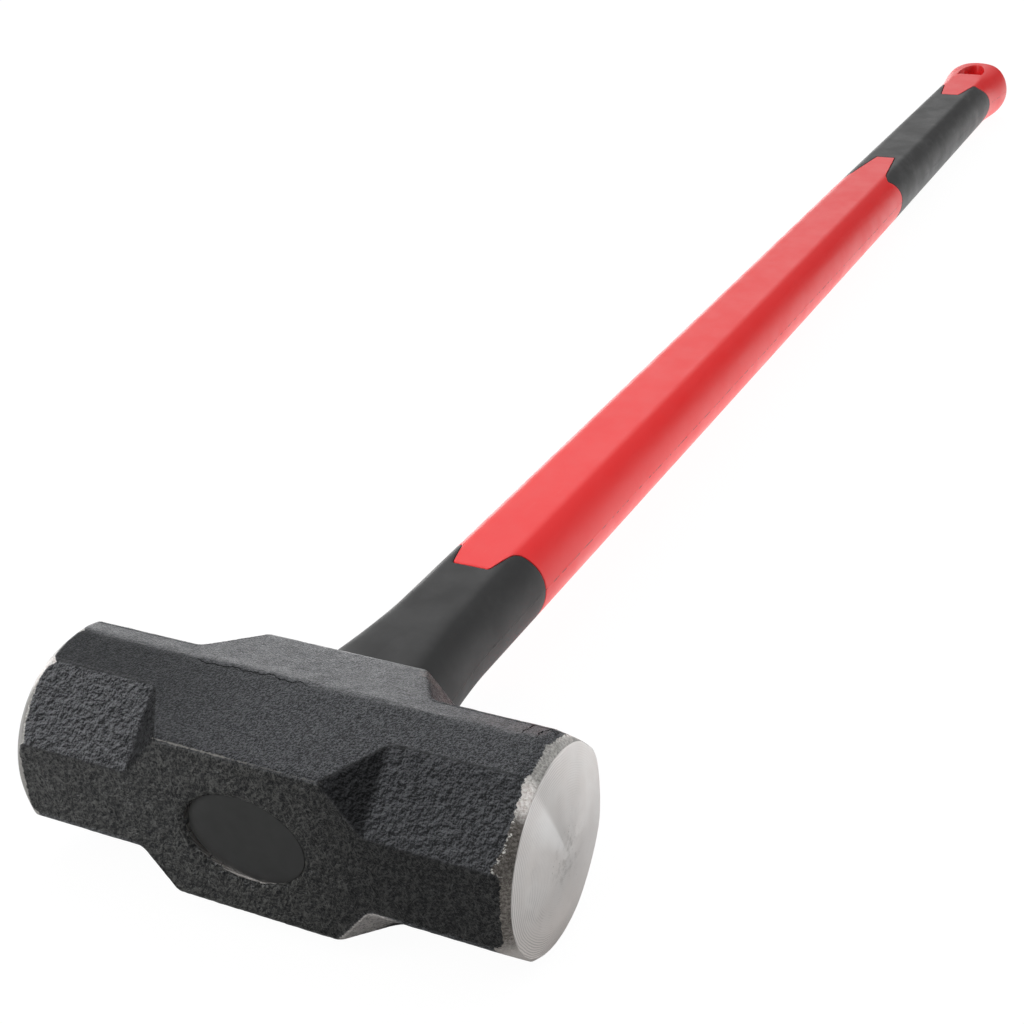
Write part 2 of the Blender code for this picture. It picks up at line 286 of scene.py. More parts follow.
def end_fields(points):
    """The crowned striking faces and the ground bevels round them."""
    x, y, z = np.abs(points[..., 0]), points[..., 1], points[..., 2]
    bevel = np.hypot(y - BEVEL_CENTRE[0], z - BEVEL_CENTRE[1]) - BEVEL_RADIUS
    bevel = (bevel - (BEVEL_REACH - x) * BEVEL_SLOPE) / math.hypot(1.0, BEVEL_SLOPE)
    middle = REACH - CROWN_RADIUS
    crown = np.sqrt((x - middle) ** 2 + (y - CROWN_CENTRE[0]) ** 2 + (z - CROWN_CENTRE[1]) ** 2)
    return bevel, crown - CROWN_RADIUS


def head_field(points):
    front, back, cheek, corner = head_planes(points)
    body = smooth_max(smooth_max(front, cheek, 1.1), back, 1.1)
    body = smooth_max(body, corner, 0.9)
    bevel, crown = end_fields(points)
    return smooth_max(smooth_max(body, bevel, 0.5), crown, 0.45)


def paint_edge(points):
    """How far each point is past the paint's edge, towards the bare striking face."""
    radius = np.hypot(points[..., 1] - PAINT_CENTRE[0], points[..., 2] - PAINT_CENTRE[1])
    along = np.abs(points[..., 0])
    up_facet = np.abs(points[..., 2]) - (FACET * math.sqrt(2.0) - DEPTH)
    from_corner = np.hypot(points[..., 1] + CORNER_Y, np.abs(points[..., 2]) - CORNER_Z)
    from_ridge = np.hypot(points[..., 1] - RIDGE_OFFSET, np.abs(points[..., 2]) - RIDGE)
    chipped = CORNER_CHIP * np.exp(-np.maximum(up_facet, -up_facet * 4.0) / 3.6)
    corners = CHEEK_CHIP * np.exp(-from_corner / 2.4) + RIDGE_CHIP * np.exp(-from_ridge / 3.0)
    chipped = chipped + np.where(points[..., 0] < 0.0, FAR_END_CHIP * corners + 0.8, corners)
    round_edge = np.minimum(along - PAINT_REACH_CHEEK, PAINT_RADIUS - radius)
    return np.maximum(along + chipped - PAINT_REACH, round_edge)


def flash_line(x):
    """Where the ragged mark of the forging dies crosses a cheek, near its ridge."""
    return RIDGE_OFFSET - 0.6 + 1.5 * wander(x, 7.0, 3.0) + 0.5 * wander(x, 1.8, 8.0)


def head_relief(points):
    """Height of the forged texture over the plain shape."""
    front, back, cheek, corner = head_planes(points)
    painted = eased(-paint_edge(points) / 1.5)
    surface = np.maximum(np.maximum(front, back), np.maximum(cheek, corner))
    on_facet = eased(1.0 - (surface - corner) / 0.8)
    on_cheek = eased(1.0 - (surface - cheek) / 0.8)
    relief = 0.05 * rough(points, 9.0) + 0.05 * rough(points, 2.2, 2)
    relief += on_facet * 0.09 * rough(points * (0.7, 1.0, 1.0) + 40.0, 2.0, 2)
    x, y, z = points[..., 0], points[..., 1], points[..., 2]
    along = flash_reach(x)
    past = y - flash_line(x)
    step = 0.22 * eased(past / 0.8) * eased((9.0 - past) / 7.0)
    relief += on_cheek * along * step * np.where(z > 0.0, 1.0, 0.6)
    streaks = rough(points * (0.45, 1.0, 0.16) + 90.0, 2.6, 2)
    relief += (1.0 - np.maximum(on_facet, on_cheek)) * 0.05 * streaks
    knocked = block_edge(points, front, cheek) * np.where(z > 0.0, 1.0, 0.2)
    relief += knocked * (0.5 * rough(points + 7.0, 2.4, 3) - 0.22)
    return relief * painted


def block_edge(points, front, cheek):
    """1 along the long front edges of the middle block, where the paint is knocked about."""
    on_block = eased((BLOCK_HALF_LENGTH + 3.0 - np.abs(points[..., 0])) / 4.0)
    return on_block * eased(1.0 - np.abs(front - cheek) / 1.4) * (points[..., 1] < 0.0)


def flash_reach(x):
    """1 where the mark of the dies still shows: a flake near the middle, and both ends."""
    flake = eased((x - FLASH_START) / 5.0) * eased((FLASH_END - x) / 6.0)
    return np.maximum(flake, eased((np.abs(x) - 73.0) / 3.0))


def face_pits(points):
    """The small raised centre and a few pits of a striking face."""
    x, y, z = points[..., 0], points[..., 1] - CROWN_CENTRE[0], points[..., 2] - CROWN_CENTRE[1]
    centre = 0.16 * np.exp(-(y**2 + z**2) / 2.2)
    side = np.where(x > 0.0, 1.0, -1.0)
    pits = np.zeros_like(x)
    for pit_y, pit_z, size in ((5.2, 12.6, 0.7), (7.1, 10.4, 0.6), (-6.2, -4.1, 0.5), (4.4, -7.6, 0.5)):
        pits += 0.10 * np.exp(-((y - pit_y * side) ** 2 + (z - pit_z) ** 2) / size**2)
    return (centre - pits) * eased((np.abs(x) - 80.0) / 4.0)


def head_guide():
    """Guide points down half the head, from the middle of its length out to the striking face."""
    barrel = [(x, 33.0) for x in np.arange(0.42, 80.0, 0.84)]
    rim = [(x, 33.0) for x in np.arange(80.0, 88.0, 0.36)]
    corner = [(88.5, radius) for radius in np.arange(33.0, 30.0, -0.36)]
    face = [(88.5, radius) for radius in np.arange(30.0, 0.4, -0.85)]
    return barrel + rim + corner + face


def build_head():
    half = head_guide()
    guide = [(-x, radius) for x, radius in reversed(half)] + half
    turns = np.arange(HEAD_COLUMNS) * math.tau / HEAD_COLUMNS
    inner = REACH - 36.0
    origins, directions = [], []
    for x, radius in guide:
        start = max(-inner, min(inner, x))
        along = np.full(HEAD_COLUMNS, x - start)
        aim = np.stack([along, radius * np.cos(turns), radius * np.sin(turns)], -1)
        directions.append(aim / np.linalg.norm(aim, axis=-1, keepdims=True))
        origins.append(np.broadcast_to([start, 0.0, 0.0], aim.shape))
    origins, directions = np.array(origins), np.array(directions)
    length = cast(origins, directions, head_field, 70.0)
    plain = origins + directions * length[..., None]
    points = plain + directions * (head_relief(plain) + face_pits(plain))[..., None]

    front, back, cheek, corner = head_planes(plain)
    surface = np.maximum(np.maximum(front, back), np.maximum(cheek, corner))
    bevel, crown = end_fields(plain)
    on_cheek = eased(1.0 - (surface - cheek) / 0.9)
    past = plain[..., 1] - flash_line(plain[..., 0])
    tip = np.array([REACH, 0.0, 0.0])
    attributes = {
        "bare": np.clip(paint_edge(plain) + BARE_ZERO, 0.0, None),
        "disc": np.clip(crown - np.maximum(bevel, surface), -3.0, 3.0),
        "facet": eased(1.0 - (surface - corner) / 0.9),
        "cheek": on_cheek,
        "slope": on_cheek * eased(past / 1.4),
        "past": np.clip(past, -3.0, 3.0),
        "wear": block_edge(plain, front, cheek),
    }
    ends = {"bare": 30.0, "disc": 3.0}
    values = {key: np.append(value.ravel(), [ends.get(key, 0.0)] * 2) for key, value in attributes.items()}
    head = skin("head_forging", points, -tip, tip, values)
    cut(head, build_eye_cutter())
    return head


def eye_wall_scale(y):
    return EYE_WAIST + (1.0 - EYE_WAIST) * (y / DEPTH) ** 2


def oval_ring(y, scale, inset=0.0, centre=(0.0, 0.0), columns=144):
    turns = np.arange(columns) * math.tau / columns
    wide = EYE_HALF_WIDTH * scale - inset
    high = EYE_HALF_HEIGHT * scale - inset
    across, up = centre[0] + wide * np.cos(turns), centre[1] + high * np.sin(turns)
    return np.stack([across, np.full(columns, y), up], -1)


def mouth_centre(y):
    """The eye leans a little towards its front mouth."""
    lean = eased(-y / DEPTH)
    return FRONT_MOUTH[0] * lean, FRONT_MOUTH[1] * lean


def build_eye_cutter():
    heights = np.linspace(-DEPTH - 4.0, DEPTH + 4.0, 28)
    rings = []
    for y in heights:
        inside = max(-DEPTH, min(DEPTH, y))
        rings.append(oval_ring(y, eye_wall_scale(inside), 0.0, mouth_centre(inside)))
    return skin("eye_cutter", np.array(rings), (0.0, heights[0], 0.0), (0.0, heights[-1], 0.0))


def build_eye_plug():
    """Smooth oval plug with a raised middle. Its rim meets the eye's wall at the top right, and
    leaves a groove along the bottom left."""
    columns = 192
    turns = np.arange(columns) * math.tau / columns
    centre = mouth_centre(-DEPTH)
    rings = []
    for depth, inset in ((PLUG_BACK, 3.0), (PLUG_BACK, 1.0), (PLUG_BACK, 0.4), (-27.0, 0.35)):
        rings.append(oval_ring(depth, eye_wall_scale(depth), inset, mouth_centre(depth), columns))
    low_left = (0.5 - 0.5 * np.cos(turns - math.radians(22.0))) ** 1.6
    groove = 0.75 + 2.1 * low_left
    middle_depth = 0.6
    for share in np.concatenate([np.linspace(1.0, 0.6, 24), np.linspace(0.57, 0.03, 18)]):
        ring = oval_ring(-DEPTH, share, 0.05 * share, centre, columns)
        rim = np.clip((share - 0.6) / 0.4, 0.0, 1.0)
        ring[:, 1] = -DEPTH + middle_depth + (groove - middle_depth) * rim**2.2
        rings.append(ring)
    rings = np.array(rings)
    tip = (centre[0], -DEPTH + middle_depth, centre[1])
    return skin("eye_plug_cap", rings, (0.0, PLUG_BACK, 0.0), tip)


# ---------------------------------------------------------------- handle


def straight_size(y):
    along_side = np.clip((y - TAPER_START) / (TAPER_END - TAPER_START), 0.0, 1.0)
    along_top = np.clip((y - NECK_START) / (TAPER_END - NECK_START), 0.0, 1.0)
    width = HANDLE_HALF_WIDTH - TAPER_WIDTH * along_side
    return width, HANDLE_HALF_HEIGHT - TAPER_HEIGHT * along_top, np.full_like(width, HANDLE_HALF_FLAT)


def end_inset(y, radius):
    past = np.clip(1.0 - (HANDLE_END - y) / radius, 0.0, 1.0)
    return radius * (1.0 - np.sqrt(1.0 - past**2))


def outside_size(y):
    width, height, flat = straight_size(y)
    flare = np.clip((FLARE_END - y) / (FLARE_END - NECK_START), 0.0, 1.0) ** FLARE_POWER
    knob = eased((y - KNOB_START) / (KNOB_RIM - KNOB_START))
    width = width + FLARE_WIDTH * flare + KNOB_WIDTH * knob - end_inset(y, END_SIDE_ROUND)
    height = height + FLARE_HEIGHT * flare + KNOB_HEIGHT * knob - end_inset(y, END_TOP_ROUND)
    flat = np.minimum(flat + FLARE_WIDTH * 0.5 * flare, width * 0.55)
    return width, height, flat


def section_field(points, size, crease):
    """A flat top and bottom joined by an arc on each side, with a soft crease between them."""
    width, height, flat = size
    reach = width - flat
    radius = (reach**2 + height**2) / (2.0 * reach)
    side = np.hypot(np.abs(points[..., 0]) - (width - radius), points[..., 2]) - radius
    top = np.abs(points[..., 2]) - height
    return smooth_max(side, top, crease)


def outside_field(points):
    y = points[..., 1]
    neck = np.clip((120.0 - y) / 80.0, 0.0, 1.0)
    knob = eased((y - KNOB_START) / 30.0)
    return section_field(points, outside_size(y), CREASE + 2.6 * neck**2 + 4.5 * knob)


def bed_size(y, clearance):
    width, height, flat = straight_size(y)
    thin = GRIP_WALL - clearance
    return width - thin, height - thin, flat - thin * 0.5


def ring_points(y, field):
    """The points of one ring, whose place along the handle can differ from column to column."""
    turns = np.arange(HANDLE_COLUMNS) * math.tau / HANDLE_COLUMNS
    y = np.broadcast_to(y, turns.shape)
    origins = np.stack([np.zeros_like(turns), y, np.zeros_like(turns)], -1)
    directions = np.stack([np.cos(turns), np.zeros_like(turns), np.sin(turns)], -1)
    return origins + directions * cast(origins, directions, field, 60.0)[:, None]


def outer_ring(y, inset=0.0):
    return ring_points(y, lambda points: outside_field(points) + inset)


def bed_ring(y, clearance=0.0):
    return ring_points(y, lambda points: section_field(points, bed_size(points[..., 1], clearance), CREASE))


def bore_ring(y):
    turns = np.arange(HANDLE_COLUMNS) * math.tau / HANDLE_COLUMNS
    wide, high = CORE_HALF_WIDTH + CLEARANCE, CORE_HALF_HEIGHT + CLEARANCE
    return np.stack([wide * np.cos(turns), np.full_like(turns, y), high * np.sin(turns)], -1)


def edge_line(edge):
    """Where an outline lies along the handle for each column, with its corners softened."""
    across, along = zip(*edge)
    y = np.full(HANDLE_COLUMNS, along[0])
    for _ in range(4):
        y = np.interp(np.abs(outer_ring(y)[:, 0]), across, along)
    kernel = np.array([1.0, 2.0, 3.0, 2.0, 1.0]) / 9.0
    padded = np.concatenate([y[-2:], y, y[:2]])
    return np.convolve(padded, kernel, "valid")


def edge_slope(y):
    """How much longer a step along the handle is than a step square to the outline."""
    points = outer_ring(y)
    girth = np.linalg.norm(np.roll(points, -1, 0)[:, ::2] - np.roll(points, 1, 0)[:, ::2], axis=-1)
    rise = (np.roll(y, -1) - np.roll(y, 1)) / girth
    return np.sqrt(1.0 + rise**2)


def rolled_rings(y, direction):
    """The rings of a rounded edge, from the wall out to the surface. Direction is 1 when the piece
    lies beyond the edge and -1 when it lies before it."""
    slope = edge_slope(y)
    rings = []
    for i in range(5):
        turn = math.radians(90.0) * i / 4.0
        away = SEAM_GAP + EDGE_ROUND * (1.0 - math.cos(turn))
        rings.append(outer_ring(y + direction * slope * away, EDGE_ROUND * (1.0 - math.sin(turn))))
    return rings


def surface_rings(start, end, spacing, close=8.0):
    """Rings over the outside from one line to another, closer together near both ends."""
    span = float(np.mean(end - start))
    steps = [0.8, 1.6, 2.6, 4.0, 5.8, close]
    places = [step / span for step in steps]
    middle = np.linspace(close / span, 1.0 - close / span, max(2, int((span - 2 * close) / spacing)))
    shares = places[:-1] + middle.tolist() + [1.0 - place for place in reversed(places[:-1])]
    return [outer_ring(start + (end - start) * share) for share in shares]


def moulding_seam(rings):
    """Height of the mould's parting line and its flash along both sides of the handle."""
    x, y, z = rings[..., 0], rings[..., 1], rings[..., 2]
    line = np.exp(-(((z - 0.25 * wander(y, 60.0, 5.0)) / 0.32) ** 2)) * (np.abs(x) > 14.0)
    nicks = np.clip(wander(y + 500.0 * (x > 0.0), 5.0, 21.0) - 0.15, 0.0, 1.0)
    return line * (0.07 + 0.35 * nicks)


def raise_rings(rings, first, last):
    """Adds the parting line to the rings of a piece's outside."""
    outside = rings[first:last]
    outward = outside * (1.0, 0.0, 1.0)
    outward /= np.linalg.norm(outward, axis=-1, keepdims=True)
    height = moulding_seam(outside) + 0.02 * rough(outside, 25.0, 2)
    rings[first:last] = outside + outward * height[..., None]
    return rings


def slot_outline(grow):
    wide, deep = SLOT_HALF_WIDTH + grow, SLOT_END - SLOT_ARC_START + grow
    flat = np.linspace(-wide, wide, 24)[:-1]
    turns = np.linspace(0.0, math.pi, 72)
    front = [(x, SLOT_START - grow) for x in flat]
    back = [(wide * math.cos(turn), SLOT_ARC_START + deep * math.sin(turn)) for turn in turns]
    return front + back


def build_slot_cutter():
    """The lanyard slot, with a small rolled lip at both mouths."""
    _, height, _ = outside_size(np.array([865.0]))
    height = float(height[0])
    layers = [(-height - 4.0, SLOT_LIP * 4.0)]
    for i in range(7):
        turn = math.radians(90.0) * i / 6.0
        layers.append((-height + SLOT_LIP * math.sin(turn) - 0.05, SLOT_LIP * (1.0 - math.sin(turn))))
    layers += [(-height * 0.5, 0.0), (0.0, -0.15)]
    layers += [(-z, grow) for z, grow in reversed(layers[:-1])]
    rings = [[(x, y, z) for x, y in slot_outline(grow)] for z, grow in layers]
    middle = (SLOT_START + SLOT_END) / 2.0
    top = layers[-1][0]
    return skin("slot_cutter", np.array(rings), (0.0, middle, -top), (0.0, middle, top))


def end_rings():
    """The knob's rounded end and its flat face."""
    rings = []
    corner = HANDLE_END - END_SIDE_ROUND
    for i in range(1, 15):
        rings.append(outer_ring(corner + END_SIDE_ROUND * math.sin(math.radians(90.0) * i / 14.2)))
    last = outer_ring(HANDLE_END - 0.0005)
    for share in np.linspace(1.0, 0.06, 14):
        rings.append(last * (share, 1.0, share))
    return rings


def build_jacket(neck_line, rear_line, butt_line):
    rings = [bore_ring(y) for y in np.linspace(CORE_END + CLEARANCE, JACKET_START, 6)]
    near_neck = neck_line + edge_slope(neck_line) * SEAM_GAP
    before_rear = rear_line - edge_slope(rear_line) * SEAM_GAP
    after_butt = butt_line + edge_slope(butt_line) * SEAM_GAP
    for share in (0.0, 0.5, 1.0):
        rings.append(bed_ring(JACKET_START + (near_neck - JACKET_START) * share))
    first = len(rings)
    rings += rolled_rings(neck_line, 1)
    rings += surface_rings(near_neck + EDGE_ROUND, before_rear - EDGE_ROUND, 5.0)
    rings += list(reversed(rolled_rings(rear_line, -1)))
    middle = len(rings)
    for share in (0.0, 0.35, 0.7, 1.0):
        rings.append(bed_ring(before_rear + (after_butt - before_rear) * share))
    second = len(rings)
    rings += rolled_rings(butt_line, 1)
    corner = np.full(HANDLE_COLUMNS, HANDLE_END - END_SIDE_ROUND)
    start = after_butt + EDGE_ROUND
    rings += [outer_ring(start + (corner - start) * share) for share in np.linspace(0.02, 1.0, 44)]
    third = len(rings)
    rings += end_rings()
    rings = raise_rings(raise_rings(np.array(rings), first, middle), second, third)
    jacket = skin("jacket_moulding", rings, (0.0, CORE_END + CLEARANCE, 0.0), (0.0, HANDLE_END, 0.0))
    cut(jacket, build_slot_cutter())
    return jacket


def build_neck_grip(neck_line):
    before = neck_line - edge_slope(neck_line) * SEAM_GAP
    inner = JACKET_START - CLEARANCE
    rings = [outer_ring(NECK_START + past, inset) for past, inset in ((0.0, 1.0), (0.05, 0.3), (0.3, 0.05))]
    start = np.full(HANDLE_COLUMNS, NECK_START + 0.6)
    rings += surface_rings(start, before - EDGE_ROUND, 0.9, 6.5)
    rings += list(reversed(rolled_rings(neck_line, -1)))
    last = len(rings)
    for share in (0.0, 0.5, 1.0):
        rings.append(bed_ring(before + (inner - before) * share, CLEARANCE))
    rings += [bore_ring(inner), bore_ring(NECK_START)]
    rings = raise_rings(np.array(rings), 0, last)
    return skin("neck_grip_moulding", rings)


def build_rear_grip(rear_line, butt_line):
    after = rear_line + edge_slope(rear_line) * SEAM_GAP
    before = butt_line - edge_slope(butt_line) * SEAM_GAP
    rings = rolled_rings(rear_line, 1)
    rings += surface_rings(after + EDGE_ROUND, before - EDGE_ROUND, 2.0)
    rings += list(reversed(rolled_rings(butt_line, -1)))
    last = len(rings)
    for share in (1.0, 0.66, 0.33, 0.0):
        rings.append(bed_ring(after + (before - after) * share, CLEARANCE))
    rings = raise_rings(np.array(rings), 0, last)
    return skin("rear_grip_moulding", rings)


# ---------------------------------------------------------------- materials


class Nodes:
    """The node tree of a material or a world."""

    def __init__(self, owner):
        owner.use_nodes = True
        self.tree = owner.node_tree
        self.tree.nodes.clear()

    def put(self, value, socket):
        if isinstance(value, bpy.types.NodeSocket):
            self.tree.links.new(value, socket)
        elif value is not None:
            socket.default_value = value

    def vector(self, operation, a, b=None, scale=None, result="Vector"):
        made = self.tree.nodes.new("ShaderNodeVectorMath")
        made.operation = operation
        self.put(a, made.inputs[0])
        self.put(b, made.inputs[1])
        self.put(scale, made.inputs[3])
        return made.outputs[result]

    def math(self, operation, a, b=None, c=None):
        made = self.tree.nodes.new("ShaderNodeMath")
        made.operation = operation
        for value, socket in zip((a, b, c), made.inputs):
            self.put(value, socket)
        return made.outputs[0]

    def times(self, *values):
        made = values[0]
        for value in values[1:]:
            made = self.math("MULTIPLY", made, value)
        return made

    def plus(self, *values):
        made = values[0]
        for value in values[1:]:
            made = self.math("ADD", made, value)
        return made

    def between(self, value, low, high, out_low=0.0, out_high=1.0, smooth=True):
        """A value's place between low and high, turned into a smooth step."""
        made = self.tree.nodes.new("ShaderNodeMapRange")
        made.interpolation_type = "SMOOTHSTEP" if smooth else "LINEAR"
        for item, socket in zip((value, low, high, out_low, out_high), made.inputs):
            self.put(item, socket)
        return made.outputs[0]

    def mix_shaders(self, share, a, b):
        made = self.tree.nodes.new("ShaderNodeMixShader")
        for value, socket in zip((share, a, b), made.inputs):
            self.put(value, socket)
        return made.outputs[0]

    def light(self, kind, strength, grey=1.0):
        """Light that leaves a surface or comes from the sky."""
        made = self.tree.nodes.new(kind)
        made.inputs["Color"].default_value = (grey, grey, grey, 1.0)
        self.put(strength, made.inputs["Strength"])
        return made.outputs[0]

    def camera_sees(self):
        return self.tree.nodes.new("ShaderNodeLightPath").outputs["Is Camera Ray"]


NO_OFFSET = (0.0, 0.0, 0.0)
DARKEST = (0.003, 0.003, 0.003)


class Finish(Nodes):
    """A material, in millimetres from the centre of the eye."""

    def __init__(self, name):
        self.material = bpy.data.materials.new(name)
        super().__init__(self.material)
        place_of = self.tree.nodes.new("ShaderNodeTexCoord").outputs["Object"]
        moved = self.vector("SUBTRACT", place_of, tuple(EYE))
        self.mm = self.vector("SCALE", moved, scale=1.0 / MM)

    def split(self):
        made = self.tree.nodes.new("ShaderNodeSeparateXYZ")
        self.put(self.mm, made.inputs[0])
        return made.outputs

    def away(self, point):
        """Distance from a point."""
        return self.vector("DISTANCE", self.mm, point, result="Value")

    def line(self, value, at, width):
        """1 on the line where a value passes a number, and 0 beyond half its width each side."""
        away = self.math("ABSOLUTE", self.math("SUBTRACT", value, at))
        return self.between(away, width * 0.15, width * 0.5, 1.0, 0.0)

    def layer(self, name):
        made = self.tree.nodes.new("ShaderNodeAttribute")
        made.attribute_name = name
        return made.outputs["Fac"]

    def noise(self, size, detail=2.0, roughness=0.5, stretch=(1.0, 1.0, 1.0), offset=NO_OFFSET, turn=0.0):
        """Noise with grains of about the given size in millimetres."""
        place_of = self.mm
        if turn:
            made = self.tree.nodes.new("ShaderNodeVectorRotate")
            made.rotation_type = "Y_AXIS"
            made.inputs["Angle"].default_value = turn
            self.put(place_of, made.inputs["Vector"])
            place_of = made.outputs[0]
        place_of = self.vector("MULTIPLY_ADD", place_of, stretch)
        place_of.node.inputs[2].default_value = offset
        made = self.tree.nodes.new("ShaderNodeTexNoise")
        made.inputs["Scale"].default_value = 1.0 / size
        made.inputs["Detail"].default_value = detail
        made.inputs["Roughness"].default_value = roughness
        self.put(place_of, made.inputs["Vector"])
        return made.outputs["Fac"]

    def raked(self, size, detail, roughness, shift, offset=NO_OFFSET):
        """Noise that reads as light raking over bumps: how much lower it lies a short way off."""
        there = tuple(start + step for start, step in zip(offset, shift))
        here = self.noise(size, detail, roughness, offset=offset)
        return self.math("SUBTRACT", here, self.noise(size, detail, roughness, offset=there))

    def blend(self, share, a, b, kind="RGBA"):
        made = self.tree.nodes.new("ShaderNodeMix")
        made.data_type = kind
        sockets = [s for s in made.inputs if s.enabled]
        self.put(share, sockets[0])
        for value, socket in zip((a, b), sockets[1:]):
            if kind == "RGBA" and isinstance(value, tuple):
                value = (*value, 1.0)
            self.put(value, socket)
        return next(s for s in made.outputs if s.enabled)

    def tint(self, colour, share, tone, amount=None):
        """Lays a tone over a colour where share is 1, at most by amount."""
        return self.blend(share if amount is None else self.times(share, amount), colour, tone)

    def bump(self, height, distance, strength=1.0, normal=None):
        """A bump of a height map whose full range is distance, in millimetres."""
        made = self.tree.nodes.new("ShaderNodeBump")
        made.inputs["Strength"].default_value = strength
        made.inputs["Distance"].default_value = distance * MM
        self.put(height, made.inputs["Height"])
        self.put(normal, made.inputs["Normal"])
        return made.outputs[0]

    def shader(self, colour, roughness, metallic=0.0, normal=None, **extra):
        made = self.tree.nodes.new("ShaderNodeBsdfPrincipled")
        if isinstance(colour, tuple):
            colour = (*colour, 1.0)
        self.put(colour, made.inputs["Base Color"])
        self.put(roughness, made.inputs["Roughness"])
        self.put(metallic, made.inputs["Metallic"])
        self.put(normal, made.inputs["Normal"])
        for key, value in extra.items():
            self.put(value, made.inputs[key.replace("_", " ").title().replace("Ior", "IOR")])
        return made.outputs[0]

    def done(self, shader):
        output = self.tree.nodes.new("ShaderNodeOutputMaterial")
        self.put(shader, output.inputs["Surface"])
        return self.material


PAINT_SHEEN = (0.90, 0.94, 1.0, 1.0)


def painted_forging(mat):
    """Satin black paint over a coarse forged skin: sandy on the cheeks, crumpled on the corner
    flats, and covered in fine hair lines on the front and back. Its colour holds painted light
    and shade: the raked relief, a lit or shaded tone for each face, and a painted shadow under the
    cheek edges."""
    x, y, z = mat.split()
    cheek, facet, slope = mat.layer("cheek"), mat.layer("facet"), mat.layer("slope")
    flat = mat.math("SUBTRACT", 1.0, mat.math("MAXIMUM", cheek, facet))
    sandy = mat.times(cheek, mat.between(slope, 0.0, 1.0, 1.0, 0.35))
    sand = mat.noise(0.6, 3.0, 0.65)
    crumple = mat.noise(0.85, 4.0, 0.6, stretch=(0.8, 1.0, 1.0))
    lumps = mat.noise(2.4, 3.0, 0.6, stretch=(0.8, 1.0, 1.0), offset=(3.0, 3.0, 3.0))
    hair = mat.noise(4.2, 2.0, 0.5, stretch=(1.6, 1.0, 0.4), turn=math.radians(24.0))
    crossing = {"turn": math.radians(-38.0), "offset": (9.0, 0.0, 4.0)}
    cross_hair = mat.noise(3.8, 2.0, 0.5, stretch=(1.6, 1.0, 0.4), **crossing)
    hairs = mat.math("MAXIMUM", mat.line(hair, 0.5, 0.055), mat.line(cross_hair, 0.5, 0.055))
    dents = mat.between(mat.noise(2.6, 2.0), 0.62, 0.78)

    # The dark line along the die mark is painted shade of its small step; the two cracks near the +X end
    # are dark marks in the paint.
    flash = mat.plus(mat.layer("past"), mat.times(mat.noise(2.0, 3.0, 0.7), 1.2))
    flake = mat.between(x, FLASH_START, FLASH_START + 5.0), mat.between(x, FLASH_END, 2.0)
    flash = mat.times(mat.line(flash, 0.6, 0.6), 0.85, *flake)
    crack_x = mat.plus(x, mat.times(mat.noise(3.0, 3.0, 0.7), 5.0), mat.times(y, -0.12))
    cracks_and_step_shade = mat.math("MAXIMUM", *(mat.line(crack_x, at, 0.9) for at in CRACKS))
    cracks_and_step_shade = mat.times(cracks_and_step_shade, slope, mat.between(z, 0.0, 1.0))
    cracks_and_step_shade = mat.math("MAXIMUM", cracks_and_step_shade, mat.times(flash, cheek))

    height = mat.plus(
        mat.times(sand, sandy, 1.0),
        mat.times(crumple, facet, 2.2),
        mat.times(lumps, mat.math("SUBTRACT", 1.0, cheek), 1.8),
        mat.times(hairs, flat, 0.25),
        mat.times(dents, -0.15),
        mat.times(cracks_and_step_shade, -0.4),
        mat.times(mat.noise(4.0, 2.0), 0.06),
    )
    normal = mat.bump(height, 1.0)
    # Painted light and shade of the relief: each raked noise lays the light and shade of small bumps into
    # the colour, and the hair lines are added on the flats.
    fine = mat.raked(0.75, 3.0, 0.65, (-0.12, 0.06, 0.16))
    coarse = mat.raked(1.35, 4.0, 0.65, (-0.22, 0.10, 0.24))
    broad = mat.raked(2.6, 4.0, 0.65, (-0.40, 0.10, 0.40), (6.0, 2.0, 1.0))
    streak = mat.times(hairs, mat.between(lumps, 0.40, 0.60, 0.1, 0.9))
    flat_raked_shade_and_hairs = mat.plus(mat.between(mat.plus(broad, coarse), -0.12, 0.25), streak)
    facet_raked_shade = mat.between(mat.plus(coarse, mat.times(broad, 0.6)), -0.13, 0.18)
    raked_relief_shade = mat.blend(flat, mat.between(fine, -0.09, 0.13), flat_raked_shade_and_hairs, "FLOAT")
    raked_relief_shade = mat.blend(facet, raked_relief_shade, facet_raked_shade, "FLOAT")
    # Painted light and shade: the paint's tone is set face by face to stand for the light falling on it.
    # The cheeks and corner flats grow lighter towards -X, the corner flats are painted brighter than the
    # cheeks, their ramps much darker as in shade, the front and back flats darker towards +X, and the back
    # slope of each cheek has its own tone.
    off_ramp = mat.between(mat.math("ABSOLUTE", x), 40.5, 43.0, 0.3, 1.0)
    ramp = mat.math("MAXIMUM", off_ramp, flat)
    light = mat.blend(mat.between(x, 10.0, -60.0), (0.114, 0.117, 0.126), (0.036, 0.037, 0.040))
    bright_painted_light = mat.blend(mat.between(x, 30.0, -60.0), (0.142, 0.145, 0.154), (0.285, 0.290, 0.304))
    light = mat.blend(facet, light, mat.blend(ramp, DARKEST, bright_painted_light))
    front = mat.blend(mat.between(x, 0.0, 55.0), (0.088, 0.087, 0.078), (0.030, 0.0295, 0.026))
    light = mat.blend(flat, light, front)
    light = mat.blend(slope, light, (0.068, 0.070, 0.078))
    colour = mat.blend(raked_relief_shade, (0.003, 0.0031, 0.0033), light)
    worn = mat.plus(mat.layer("wear"), mat.times(mat.noise(1.6, 4.0, 0.75), 1.8))
    worn = mat.times(mat.between(worn, 1.62, 1.86), mat.between(x, 14.0, -8.0, 0.35, 1.0))
    colour = mat.tint(colour, worn, (0.27, 0.26, 0.24))
